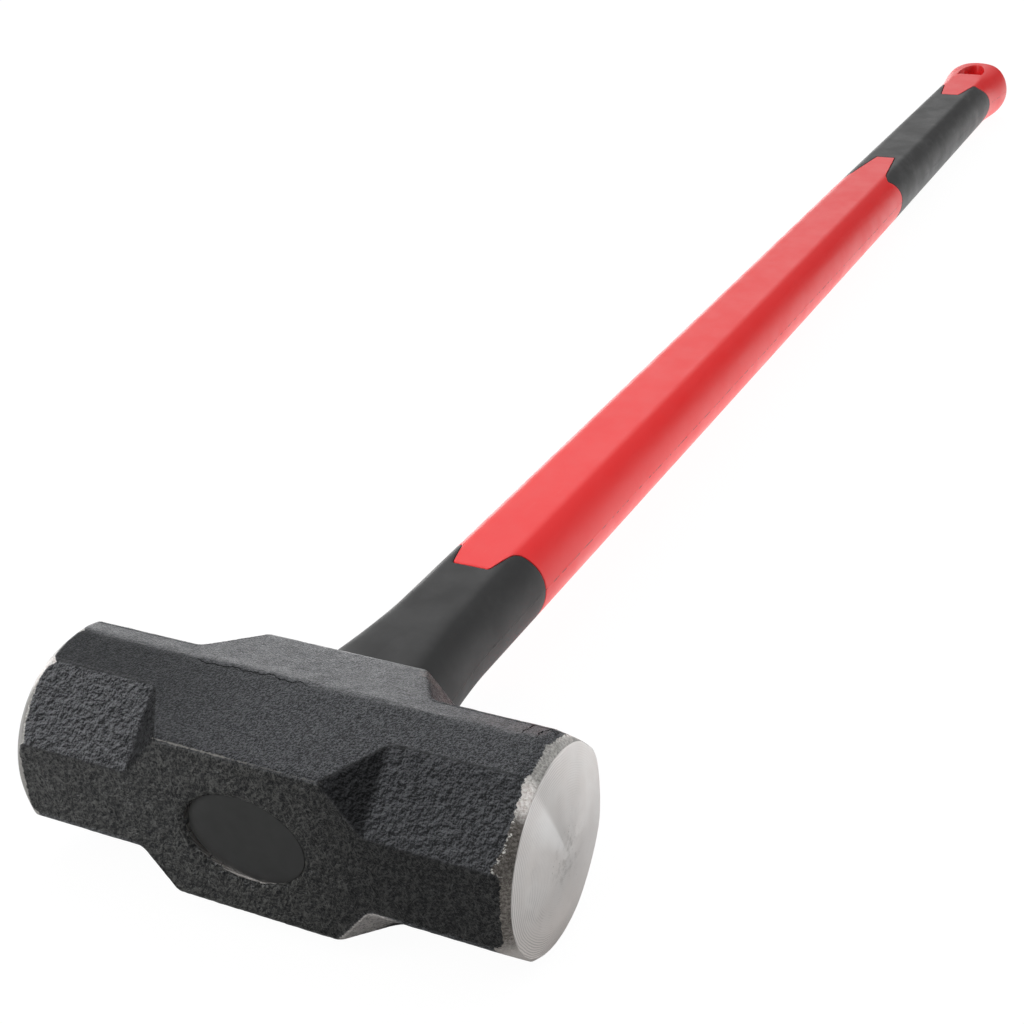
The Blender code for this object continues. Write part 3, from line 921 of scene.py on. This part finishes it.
    # Painted shadow: a dark line along the cheek's edge over each front corner flat.
    under_edge_shadow = mat.times(mat.between(facet, 0.1, 0.45), mat.between(facet, 0.95, 0.7), cheek)
    colour = mat.tint(colour, mat.times(under_edge_shadow, mat.between(y, 0.0, -2.0)), DARKEST, 0.75)
    colour = mat.tint(bare_patches(mat, colour), cracks_and_step_shade, DARKEST)
    shine = mat.times(mat.between(raked_relief_shade, 0.0, 1.0, 0.4, 0.95), mat.blend(facet, 1.0, ramp, "FLOAT"))
    fading = mat.between(x, -40.0, 60.0, 0.85, 0.5)
    shine = mat.times(shine, mat.blend(flat, 1.0, fading, "FLOAT"))
    shine = mat.times(shine, mat.between(slope, 0.0, 1.0, 1.0, 0.88))
    shine = mat.blend(cracks_and_step_shade, shine, 0.0, "FLOAT")
    roughness = mat.between(mat.noise(5.0, 3.0), 0.3, 0.7, 0.32, 0.42)
    return mat.shader(colour, roughness, 0.0, normal, specular_ior_level=shine, specular_tint=PAINT_SHEEN)


def bare_patches(mat, colour):
    """Shows the brown forging scale through the paint at the back corner of the block, and lays a pale
    speckled patch on the corner flat near a low front corner.
    """
    ragged = mat.times(mat.noise(2.2, 4.0, 0.7), 9.0)
    back_corner = (BLOCK_HALF_LENGTH + 4.0, DEPTH - 3.0, CHEEK_CORNER - 1.5)
    low_corner = (BLOCK_HALF_LENGTH + 8.0, 2.0 - DEPTH, 8.5 - CHEEK_CORNER)
    speckled = mat.between(mat.noise(0.9, 3.0, 0.7), 0.35, 0.6, 0.15, 0.75)
    back = mat.between(mat.plus(mat.away(back_corner), ragged), 9.2, 8.4)
    colour = mat.tint(colour, back, (0.145, 0.118, 0.108), speckled)
    low = mat.between(mat.plus(mat.away(low_corner), ragged), 21.0, 15.0)
    low = mat.times(low, mat.between(mat.layer("facet"), 0.4, 0.8))
    return mat.tint(colour, low, (0.95, 0.90, 0.87), mat.between(speckled, 0.0, 1.0, 0.4, 1.0))


def ground_steel(mat, edge):
    """Turned striking face with fine rings about its centre, and the coarser ground bevel round it.
    Edge is the distance past the paint's edge."""
    x, y, z = mat.split()
    y = mat.math("SUBTRACT", y, CROWN_CENTRE[0])
    z = mat.math("SUBTRACT", z, CROWN_CENTRE[1])
    radius = mat.math("SQRT", mat.plus(mat.times(y, y), mat.times(z, z)))
    disc = mat.between(mat.layer("disc"), -0.05, 0.1)

    drift = mat.times(mat.noise(6.0, 2.0), 1.1)
    rings = mat.math("SINE", mat.times(mat.plus(radius, drift), math.tau / RING_PITCH))
    strong = mat.between(mat.noise(9.0, 2.0, offset=(5.0, 0.0, 0.0)), 0.42, 0.6, 0.1, 1.0)
    outward, upward = mat.between(radius, 8.0, 27.0, 0.3, 1.0), mat.between(y, 14.0, -8.0, 0.2, 1.0)
    near_rim = mat.times(mat.between(radius, 21.0, 27.0), mat.between(y, 12.0, -2.0))
    strong = mat.math("MAXIMUM", mat.times(strong, outward, upward), near_rim)
    grooves = mat.times(mat.between(rings, 0.1, 0.95), strong)
    smudge = mat.between(mat.noise(3.5, 4.0, 0.7), 0.45, 0.65)
    smudge = mat.times(mat.between(radius, 3.0, 13.0, 1.0, 0.0), smudge)
    pits = mat.between(mat.noise(1.0, 2.0, 0.6, offset=(0.0, 3.0, 8.0)), 0.68, 0.74)
    pits = mat.times(pits, mat.between(radius, 5.0, 17.0, 1.0, 0.15))

    turn = mat.math("ARCTAN2", z, mat.math("MULTIPLY", y, -1.0))
    glare = mat.times(mat.between(turn, 0.60, 1.05), mat.between(turn, 1.15, 1.27, 1.0, 0.0))
    outer = mat.between(radius, 18.0, 30.0, 1.0, 0.35)
    glare = mat.times(glare, mat.between(radius, 1.5, 8.0), outer)
    shade = mat.times(mat.between(turn, 1.15, 1.27), mat.between(turn, 1.30, 1.80, 1.0, 0.0))
    shade = mat.times(shade, mat.between(radius, 2.0, 10.0))

    tone = mat.between(mat.noise(8.0, 4.0, 0.6), 0.3, 0.7)
    face = mat.blend(tone, (0.71, 0.68, 0.66), (0.755, 0.735, 0.72))
    # Painted reflection of the floor: the lower part of the face is painted lighter and pinker.
    low = mat.between(z, -2.0, -26.0)
    face = mat.tint(face, low, (0.98, 0.925, 0.89), 0.85)
    face = mat.tint(face, grooves, (0.36, 0.34, 0.33), 0.55)
    face = mat.tint(face, smudge, (0.38, 0.36, 0.34), 0.5)
    face = mat.tint(face, pits, (0.20, 0.19, 0.18), 0.7)
    face = mat.tint(face, glare, (0.98, 0.98, 0.98), 0.5)
    face = mat.tint(face, shade, (0.50, 0.49, 0.48), 0.45)

    crystal = mat.noise(0.75, 3.0, 0.7, stretch=(0.5, 1.0, 1.0))
    facet_side = mat.math("ABSOLUTE", mat.plus(y, CORNER_Y + 1.0))
    corner_glint = mat.times(mat.between(facet_side, 7.0, 2.0), mat.between(z, 20.0, 27.0))
    brown = mat.blend(mat.between(crystal, 0.38, 0.66), (0.13, 0.118, 0.106), (0.32, 0.297, 0.272))
    grey = mat.blend(mat.between(crystal, 0.36, 0.66), (0.30, 0.295, 0.28), (0.56, 0.55, 0.53))
    bright_painted_light = mat.blend(mat.between(crystal, 0.34, 0.60), (0.66, 0.60, 0.57), (1.0, 0.97, 0.94))
    brown = mat.blend(mat.between(z, 8.0, 14.0, 0.0, 0.35), brown, (0.02, 0.02, 0.02))
    bevel = mat.blend(mat.between(z, 23.0, 29.0), brown, grey)
    # Painted reflections: the lower bevel is painted lighter and pinker for the floor it faces, and the far
    # end's bevel lighter grey for the light it catches.
    bevel = mat.tint(bevel, mat.between(z, -8.0, -18.0), (0.80, 0.75, 0.72), 0.7)
    bevel = mat.tint(bevel, mat.between(x, 10.0, -10.0), (0.56, 0.55, 0.53), 0.7)
    bevel = mat.blend(corner_glint, bevel, bright_painted_light)
    # Painted glints: bright specks along the ragged paint edge, fewer on the cheeks.
    edge_glints = mat.times(mat.line(edge, 0.35, 0.9), mat.between(crystal, 0.48, 0.62))
    edge_glints = mat.times(edge_glints, mat.between(z, 10.0, 14.0))
    off_cheek = mat.between(mat.layer("cheek"), 0.0, 1.0, 1.0, 0.15)
    bevel = mat.tint(bevel, edge_glints, (0.80, 0.79, 0.76), off_cheek)

    height = mat.plus(
        mat.times(rings, strong, disc, 0.02),
        mat.times(mat.noise(0.35, 3.0, 0.7), 0.04),
        mat.times(crystal, mat.math("SUBTRACT", 1.0, disc), 0.7),
        mat.times(pits, disc, -0.1),
    )
    roughness = mat.between(mat.noise(4.0, 3.0), 0.3, 0.7, 0.30, 0.40)
    tangent = mat.tree.nodes.new("ShaderNodeTangent")
    tangent.direction_type = "RADIAL"
    tangent.axis = "X"
    colour = mat.blend(disc, bevel, face)
    made = mat.shader(colour, roughness, 1.0, mat.bump(height, 1.0), tangent=tangent.outputs[0])
    mat.put(mat.times(disc, 0.75), made.node.inputs["Anisotropic"])
    return made


def forged_steel():
    mat = Finish("forged_steel")
    ragged = mat.math("SUBTRACT", mat.noise(1.4, 4.0, 0.65), 0.5)
    edge = mat.plus(mat.layer("bare"), -BARE_ZERO, mat.times(ragged, 2.4))
    bare = mat.between(edge, -0.08, 0.08)
    return mat.done(mat.mix_shaders(bare, painted_forging(mat), ground_steel(mat, edge)))


def plug_plastic():
    mat = Finish("plug_plastic")
    fine, wavy = mat.noise(0.5, 2.0), mat.noise(7.0, 2.0)
    height = mat.plus(mat.times(fine, 0.02), mat.times(wavy, 0.12))
    roughness = mat.between(mat.noise(5.0, 3.0), 0.3, 0.7, 0.46, 0.54)
    colour = mat.blend(mat.noise(6.0, 3.0), (0.0155, 0.0162, 0.0158), (0.0215, 0.0223, 0.0215))
    return mat.done(mat.shader(colour, roughness, 0.0, mat.bump(height, 1.0)))


def seam_nicks(mat):
    """Short dark nicks along the mould's parting line on both sides of the handle."""
    z = mat.split()["Z"]
    here = mat.between(mat.noise(7.0, 4.0, 0.75, stretch=(0.02, 1.0, 0.02)), 0.47, 0.56)
    drift = mat.times(mat.noise(40.0, 2.0, stretch=(0.0, 1.0, 0.0)), 0.6)
    return mat.times(mat.line(mat.plus(z, drift), 0.3, 0.75), here)


def jacket_plastic():
    mat = Finish("jacket_plastic")
    y = mat.split()["Y"]
    nicks = seam_nicks(mat)
    height = mat.plus(
        mat.times(mat.noise(0.35, 2.0), 0.010),
        mat.times(mat.noise(14.0, 2.0), 0.05),
        mat.times(nicks, -0.12),
    )
    flow = mat.between(mat.noise(30.0, 3.0, 0.6, stretch=(1.0, 0.2, 1.0)), 0.3, 0.7)
    colour = mat.blend(flow, (0.90, 0.021, 0.022), (0.93, 0.025, 0.027))
    # Painted shade: the red grows darker along the handle towards the butt, standing for the light falling
    # off.
    colour = mat.blend(mat.between(y, 150.0, 700.0), colour, (0.75, 0.022, 0.024))
    rub = mat.between(mat.noise(1.6, 4.0, 0.7, stretch=(1.0, 0.12, 1.0)), 0.62, 0.78)
    colour = mat.tint(colour, rub, (0.85, 0.30, 0.30), 0.06)
    colour = mat.tint(colour, nicks, (0.25, 0.008, 0.010), 0.75)
    roughness = mat.between(mat.noise(12.0, 4.0, 0.6), 0.3, 0.7, 0.36, 0.44)
    normal = mat.bump(height, 1.0)
    return mat.done(mat.shader(colour, roughness, 0.0, normal, specular_ior_level=0.42))


def grip_rubber():
    """Matt black rubber, handled smooth, with pale smudges towards the butt. Its black is also painted
    lighter towards the butt, standing for the brighter light on the rear grip.
    """
    mat = Finish("grip_rubber")
    y = mat.split()["Y"]
    height = mat.plus(
        mat.times(mat.noise(0.3, 2.0), 0.018),
        mat.times(mat.noise(10.0, 2.0), 0.05),
        mat.times(seam_nicks(mat), -0.10),
    )
    # Painted light as well as real smudges: the base black grows lighter from the neck towards the butt,
    # and the pale smudges gather there.
    handled = mat.between(y, 300.0, 620.0, 0.2, 1.0)
    smudge = mat.between(mat.noise(9.0, 5.0, 0.65, stretch=(1.0, 0.7, 1.0)), 0.45, 0.72)
    smudge = mat.times(smudge, handled)
    dark = mat.blend(handled, (0.0110, 0.0113, 0.0118), (0.023, 0.0233, 0.0237))
    colour = mat.blend(smudge, dark, (0.047, 0.0475, 0.048))
    roughness = mat.between(mat.noise(14.0, 3.0), 0.3, 0.7, 0.50, 0.58)
    return mat.done(mat.shader(colour, roughness, 0.0, mat.bump(height, 1.0)))


def seal_rubber():
    mat = Finish("seal_rubber")
    normal = mat.bump(mat.noise(0.4, 3.0), 0.05, 0.8)
    colour = mat.blend(mat.noise(2.0, 3.0), (0.016, 0.016, 0.017), (0.034, 0.034, 0.036))
    return mat.done(mat.shader(colour, 0.8, 0.0, normal))


def cast_resin():
    mat = Finish("epoxy")
    normal = mat.bump(mat.noise(3.0, 2.0), 0.15, 0.5)
    cloud = mat.noise(4.0, 4.0, 0.6)
    colour = mat.blend(cloud, (0.33, 0.22, 0.08), (0.52, 0.40, 0.20))
    return mat.done(mat.shader(colour, mat.between(cloud, 0.3, 0.7, 0.15, 0.35), 0.0, normal))


def pulled_fibreglass():
    mat = Finish("fibreglass")
    strands = mat.noise(0.5, 4.0, 0.7, stretch=(1.0, 0.02, 1.0))
    normal = mat.bump(strands, 0.08, 0.8)
    colour = mat.blend(strands, (0.62, 0.56, 0.34), (0.84, 0.80, 0.60))
    return mat.done(mat.shader(colour, mat.between(strands, 0.3, 0.7, 0.35, 0.55), 0.0, normal))


# ---------------------------------------------------------------- stage, light and camera

CAMERA_PLACE = (270.1, -357.7, 317.9)
CAMERA_DOWN = math.radians(27.35)
CAMERA_LEFT = math.radians(28.12)
CAMERA_ROLL = math.radians(-3.53)
CAMERA_LENS = 61.3

# Broad soft lights: degrees round from +Y towards +X, degrees up, degrees from middle to edge, strength
SOFT_LIGHTS = (
    (-30.0, 10.0, 30.0, 1.2),
    (-30.0, 36.0, 30.0, 0.8),
    (0.0, 36.0, 30.0, 0.45),
    (0.0, 64.0, 34.0, 1.2),
    (60.0, 10.0, 30.0, 0.95),
    (60.0, 36.0, 30.0, 1.0),
    (60.0, 64.0, 34.0, 1.0),
    (120.0, 64.0, 34.0, 0.4),
    (180.0, 64.0, 34.0, 0.5),
    (-120.0, 64.0, 34.0, 0.45),
    (-100.0, 36.0, 30.0, 0.45),
    (-138.0, 40.0, 20.0, 6.5),
    (-140.0, 10.0, 30.0, 1.0),
    (0.0, 90.0, 32.0, 0.3),
)
LIGHT_CORE = 8.0
SKY_GREY = 0.8
FLOOR_REACH = 12.0
FLOOR_GAP = 0.0005
FLOOR_WHITE = 1.03
FLOOR_GLOW_LEFT = 2.1
FLOOR_GLOW_RIGHT = 0.6
FLOOR_SHADOW = 0.06


def build_camera():
    camera = bpy.data.objects.new("camera", bpy.data.cameras.new("camera"))
    bpy.context.scene.collection.objects.link(camera)
    camera.data.lens = CAMERA_LENS
    camera.data.sensor_width = 36.0
    camera.data.clip_start = 0.01
    camera.data.clip_end = 50.0
    heading = Matrix.Rotation(CAMERA_LEFT, 4, "Z")
    tilt = Matrix.Rotation(math.radians(90.0) - CAMERA_DOWN, 4, "X")
    roll = Matrix.Rotation(CAMERA_ROLL, 4, "Z")
    camera.matrix_world = Matrix.Translation(in_frame(CAMERA_PLACE)) @ heading @ tilt @ roll
    bpy.context.scene.camera = camera


def build_floor():
    """A pale floor that touches the head's lower ridge and the knob's underside. It throws more light
    back from behind the hammer than from in front of it, and keeps its shadows faint."""
    near, far = EYE.y, -END_SIDE_ROUND * MM
    rise = (JACKET_LOW.z - HEAD_LOW.z) / (far - near)
    level = HEAD_LOW.z - FLOOR_GAP
    square = ((-1, -1), (1, -1), (1, 1), (-1, 1))
    square = [(x * FLOOR_REACH, y * FLOOR_REACH) for x, y in square]
    corners = [(x, y, level + (y - near) * rise) for x, y in square]
    mesh = bpy.data.meshes.new("floor")
    mesh.from_pydata(corners, [], [(0, 1, 2, 3)])
    floor = bpy.data.objects.new("floor", mesh)
    bpy.context.scene.collection.objects.link(floor)

    mat = Finish("pale_floor")
    x, y, _ = mat.split()
    behind = mat.between(y, -50.0, 250.0)
    strength = mat.between(x, -100.0, 100.0, FLOOR_GLOW_LEFT, FLOOR_GLOW_RIGHT)
    bounced = mat.light("ShaderNodeEmission", mat.times(behind, strength))
    lighting = mat.tree.nodes.new("ShaderNodeAddShader")
    mat.put(mat.shader((0.6, 0.6, 0.6), 0.9, specular_ior_level=0.0), lighting.inputs[0])
    mat.put(bounced, lighting.inputs[1])
    pale = mat.shader((0.92, 0.92, 0.92), 0.9, specular_ior_level=0.0)
    white = mat.light("ShaderNodeEmission", FLOOR_WHITE)
    seen = mat.mix_shaders(1.0 - FLOOR_SHADOW, pale, white)
    mesh.materials.append(mat.done(mat.mix_shaders(mat.camera_sees(), lighting.outputs[0], seen)))


def facing(round_to, up):
    """The direction a number of degrees round from +Y towards +X, and degrees up."""
    turn, climb = math.radians(round_to), math.radians(up)
    return math.sin(turn) * math.cos(climb), math.cos(turn) * math.cos(climb), math.sin(climb)


def build_world():
    """A white studio whose soft lights are broad patches of the sky. The camera sees plain white."""
    world = bpy.data.worlds.new("studio")
    bpy.context.scene.world = world
    nodes = Nodes(world)
    direction = nodes.tree.nodes.new("ShaderNodeTexCoord").outputs["Generated"]
    core = math.cos(math.radians(LIGHT_CORE))
    patches = []
    for round_to, up, width, strength in SOFT_LIGHTS:
        towards = nodes.vector("DOT_PRODUCT", direction, facing(round_to, up), result="Value")
        patches.append(nodes.between(towards, math.cos(math.radians(width)), core, 0.0, strength))
    lighting = nodes.light("ShaderNodeBackground", nodes.plus(*patches), SKY_GREY)
    seen = nodes.light("ShaderNodeBackground", 1.0)
    output = nodes.tree.nodes.new("ShaderNodeOutputWorld")
    nodes.put(nodes.mix_shaders(nodes.camera_sees(), lighting, seen), output.inputs["Surface"])


# ---------------------------------------------------------------- the hammer

neck_line, rear_line, butt_line = edge_line(NECK_EDGE), edge_line(REAR_EDGE), edge_line(BUTT_EDGE)
rubber = grip_rubber()
place(build_head(), "head", "forged_steel", forged_steel())
place(build_eye_plug(), "eye_plug", "plug_plastic", plug_plastic())
place(build_jacket(neck_line, rear_line, butt_line), "handle_jacket", "jacket_plastic", jacket_plastic())
place(build_neck_grip(neck_line), "neck_grip", "grip_rubber", rubber)
place(build_rear_grip(rear_line, butt_line), "rear_grip", "grip_rubber", rubber)
hidden = {"eye_seal": seal_rubber(), "epoxy_fill": cast_resin(), "fibreglass_core": pulled_fibreglass()}
for node, material in hidden.items():
    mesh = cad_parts[node].data
    mesh.materials.clear()
    mesh.materials.append(material)

build_floor()
build_world()
build_camera()
bpy.context.scene.view_settings.view_transform = "Standard"
